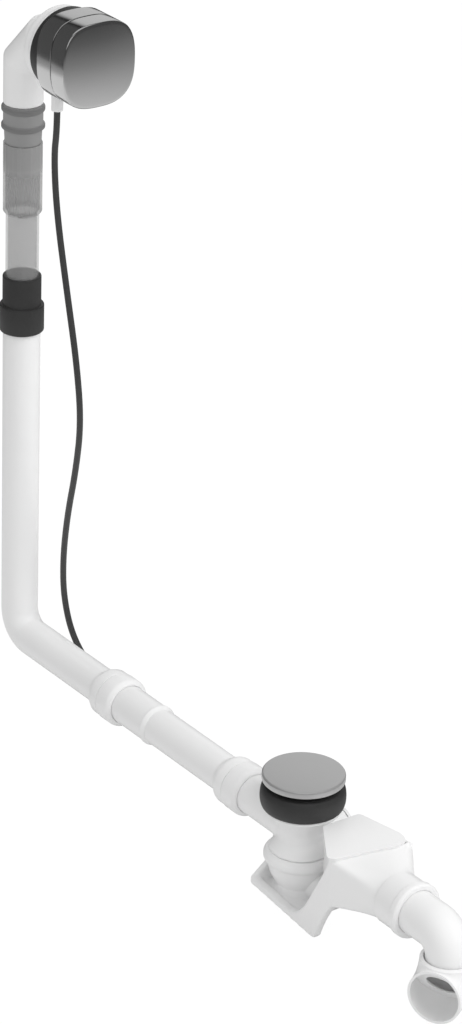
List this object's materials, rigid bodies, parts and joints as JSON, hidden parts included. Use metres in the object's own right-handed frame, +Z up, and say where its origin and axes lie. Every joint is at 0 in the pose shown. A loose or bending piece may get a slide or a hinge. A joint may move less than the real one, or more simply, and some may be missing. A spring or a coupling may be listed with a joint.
{
  "type": "bath waste and overflow",
  "caption": "Bath waste and overflow: a turning overflow knob works a pop-up plug through a cable, with a telescopic standpipe, a run of pipe, a low trap and a swivelling drain bend.",
  "frame": {"origin": "on the waste's vertical axis, on the face of the waste seal that meets the bath's floor", "axes": "+Z up, +X from the overflow standpipe towards the waste and the drain outlet"},
  "size_m": [0.6565, 0.0763, 0.666],
  "materials": {
    "white_plastic": "white moulded polypropylene, satin",
    "clear_plastic": "natural translucent tube, slightly hazy",
    "grey_rubber": "grey lip seal, matt",
    "black_rubber": "black seal rubber",
    "polished_chrome": "polished chrome plate",
    "satin_chrome": "chrome, softly satin",
    "steel": "drawn steel rod",
    "brass": "turned brass",
    "cable_sheath": "dark grey cable sheath, matt"
  },
  "bodies": {
    "root": {"overflow_pipe": "white_plastic", "pipe_nut": "white_plastic", "slide_sleeve": "white_plastic", "connecting_pipe": "white_plastic", "inlet_nut": "white_plastic", "waste_body": "white_plastic", "drive_cover": "white_plastic", "trap_nut": "white_plastic", "trap_body": "white_plastic", "trap_lid": "white_plastic", "drain_nut": "white_plastic", "drain_elbow": "white_plastic", "pipe_coupling": "black_rubber", "pipe_ring": "black_rubber", "inlet_ring": "black_rubber", "waste_seal": "black_rubber", "trap_ring": "black_rubber", "drain_ring": "black_rubber", "seat_flange": "satin_chrome", "control_cable": "cable_sheath"},
    "head": {"overflow_elbow": "white_plastic", "overflow_gasket": "black_rubber", "spindle_carrier": "white_plastic", "overflow_rosette": "polished_chrome", "elbow_seal": "grey_rubber", "telescopic_tube": "clear_plastic"},
    "knob": {"turn_knob": "polished_chrome", "knob_spindle": "steel", "cable_drum": "white_plastic"},
    "plug": {"plug_cap": "satin_chrome", "plug_core": "white_plastic", "plug_seal": "black_rubber", "plug_stem": "brass", "stem_nut": "brass"},
    "lever": {"lift_shaft": "steel", "lift_finger": "white_plastic", "lift_crank": "white_plastic"},
    "mouth": {"drain_mouth": "white_plastic"}
  },
  "joints": [
    {"name": "head_slide", "type": "slide", "parent": "root", "child": "head", "axis": [0, 0, 1], "range_m": [-0.05, 0.03], "deforming": ["control_cable"]},
    {"name": "knob_turn", "type": "hinge", "parent": "head", "child": "knob", "pos_m": [-0.32, 0, 0.5175], "axis": [-1, 0, 0], "range_deg": [0, 90]},
    {"name": "plug_lift", "type": "slide", "parent": "root", "child": "plug", "axis": [0, 0, 1], "range_m": [0, 0.00831]},
    {"name": "lift_lever", "type": "hinge", "parent": "root", "child": "lever", "pos_m": [0.0072, 0, -0.044], "axis": [0, 1, 0], "range_deg": [0, 60]},
    {"name": "outlet_swivel", "type": "hinge", "parent": "root", "child": "mouth", "pos_m": [0.192, 0, -0.0646], "axis": [0, 0, 1], "continuous": true}
  ],
  "couplings": [
    {"joint": "plug_lift", "follows": "knob_turn", "m_per_rad": 0.0052922},
    {"joint": "lift_lever", "follows": "knob_turn", "ratio": 0.6666}
  ]
}
